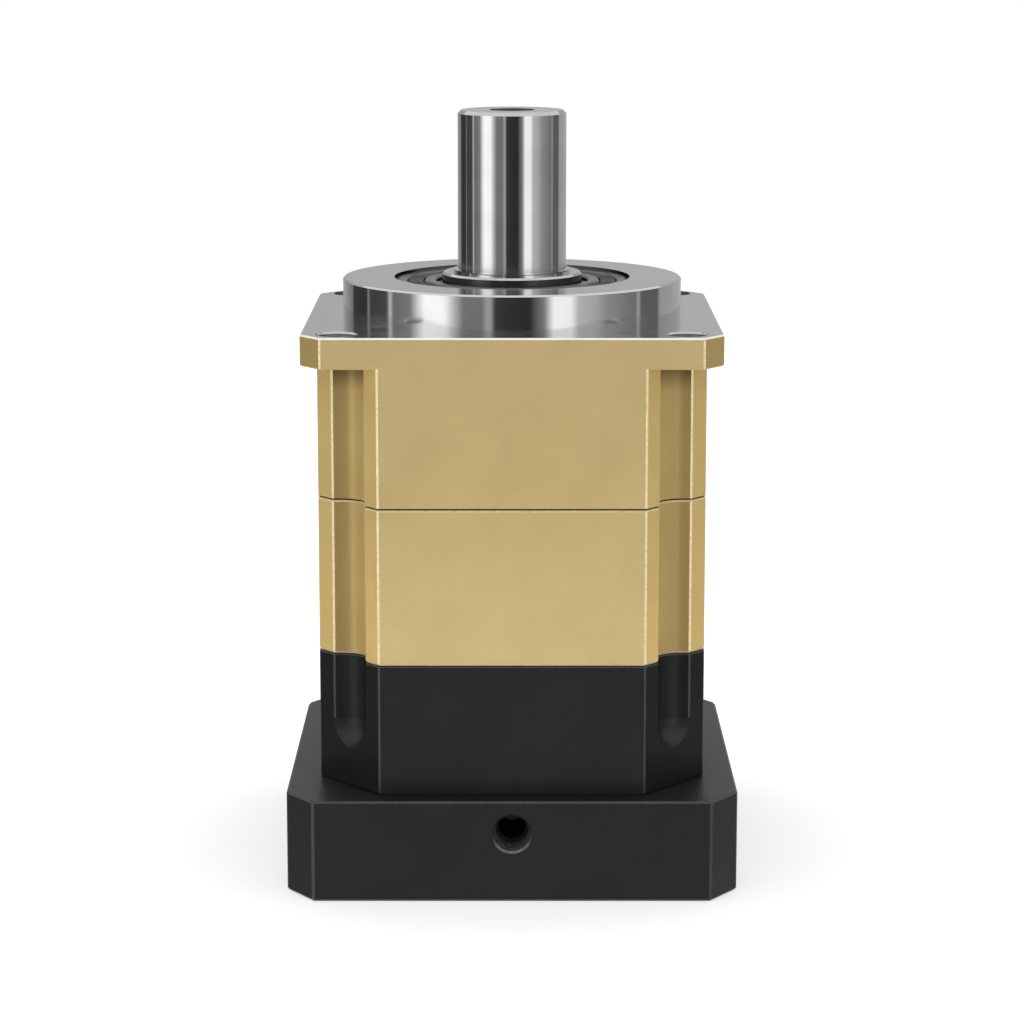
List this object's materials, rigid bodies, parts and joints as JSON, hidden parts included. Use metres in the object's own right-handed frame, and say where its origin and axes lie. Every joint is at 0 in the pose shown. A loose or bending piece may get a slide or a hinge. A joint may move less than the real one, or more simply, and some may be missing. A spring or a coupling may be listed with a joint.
{
  "type": "planetary servo gearbox",
  "caption": "Upright planetary servo gearbox: square motor adapter plate, stacked black and gold housings, round pilot and a plain output shaft.",
  "frame": {"origin": "centre of the motor face, at the foot of the adapter plate", "axes": "+Z along the output shaft towards its free end, -Y through the access hole in the front face"},
  "size_m": [0.13, 0.13, 0.2215],
  "materials": {
    "black_coat": "fine satin black coat on machined aluminium",
    "gold_coat": "satin gold coat on machined aluminium",
    "ground_steel": "ground and polished",
    "turned_steel": "turned",
    "gear_steel": "hardened and ground",
    "bearing_steel": "ground",
    "cage_plastic": "moulded",
    "black_oxide": "blackened",
    "seal_rubber": "moulded",
    "bush_bronze": "turned bronze"
  },
  "bodies": {
    "housing": {"motor_adapter": "black_coat", "input_housing": "black_coat", "ring_housing": "gold_coat", "output_housing": "gold_coat", "ring_gear": "gear_steel", "adapter_screws": "black_oxide", "housing_screws": "black_oxide", "adapter_dowels": "bearing_steel", "input_joint_seal": "seal_rubber", "output_joint_seal": "seal_rubber", "front_bearing_outer_ring": "bearing_steel", "rear_bearing_outer_ring": "bearing_steel", "input_bearing_outer_ring": "bearing_steel", "output_shaft_seal": "seal_rubber", "input_shaft_seal": "seal_rubber", "bearing_retaining_ring": "black_oxide"},
    "output": {"output_shaft": "ground_steel", "carrier_plate": "turned_steel", "carrier_screws": "black_oxide", "planet_pin_1": "bearing_steel", "planet_pin_2": "bearing_steel", "planet_pin_3": "bearing_steel", "thrust_washers": "bush_bronze", "front_bearing_inner_ring": "bearing_steel", "rear_bearing_inner_ring": "bearing_steel", "bearing_lock_nut": "black_oxide"},
    "input": {"input_shaft": "gear_steel", "clamp_collar": "turned_steel", "clamp_screw": "black_oxide", "input_bearing_inner_ring": "bearing_steel", "hub_retaining_ring": "black_oxide"},
    "planet_1": {"planet_gear_1": "gear_steel", "planet_bush_1": "bush_bronze"},
    "planet_2": {"planet_gear_2": "gear_steel", "planet_bush_2": "bush_bronze"},
    "planet_3": {"planet_gear_3": "gear_steel", "planet_bush_3": "bush_bronze"},
    "front_cage": {"front_bearing_rollers": "bearing_steel", "front_bearing_cage": "cage_plastic"},
    "rear_cage": {"rear_bearing_rollers": "bearing_steel", "rear_bearing_cage": "cage_plastic"},
    "input_cage": {"input_bearing_rollers": "bearing_steel", "input_bearing_cage": "cage_plastic"}
  },
  "joints": [
    {"name": "output_spin", "type": "hinge", "parent": "housing", "child": "output", "pos_m": [0, 0, 0.166], "axis": [0, 0, 1], "continuous": true},
    {"name": "input_spin", "type": "hinge", "parent": "housing", "child": "input", "pos_m": [0, 0, 0.056], "axis": [0, 0, 1], "continuous": true},
    {"name": "planet_1_spin", "type": "hinge", "parent": "output", "child": "planet_1", "pos_m": [0, 0.03, 0.0911], "axis": [0, 0, 1], "continuous": true},
    {"name": "planet_2_spin", "type": "hinge", "parent": "output", "child": "planet_2", "pos_m": [-0.02598, -0.015, 0.0911], "axis": [0, 0, 1], "continuous": true},
    {"name": "planet_3_spin", "type": "hinge", "parent": "output", "child": "planet_3", "pos_m": [0.02598, -0.015, 0.0911], "axis": [0, 0, 1], "continuous": true},
    {"name": "front_cage_spin", "type": "hinge", "parent": "housing", "child": "front_cage", "pos_m": [0, 0, 0.1657], "axis": [0, 0, 1], "continuous": true},
    {"name": "rear_cage_spin", "type": "hinge", "parent": "housing", "child": "rear_cage", "pos_m": [0, 0, 0.1327], "axis": [0, 0, 1], "continuous": true},
    {"name": "input_cage_spin", "type": "hinge", "parent": "housing", "child": "input_cage", "pos_m": [0, 0, 0.056], "axis": [0, 0, 1], "continuous": true}
  ],
  "couplings": [
    {"joint": "input_spin", "follows": "output_spin", "ratio": 4},
    {"joint": "planet_1_spin", "follows": "output_spin", "ratio": -3},
    {"joint": "planet_2_spin", "follows": "output_spin", "ratio": -3},
    {"joint": "planet_3_spin", "follows": "output_spin", "ratio": -3},
    {"joint": "front_cage_spin", "follows": "output_spin", "ratio": 0.45606},
    {"joint": "rear_cage_spin", "follows": "output_spin", "ratio": 0.46276},
    {"joint": "input_cage_spin", "follows": "output_spin", "ratio": 1.8078}
  ]
}
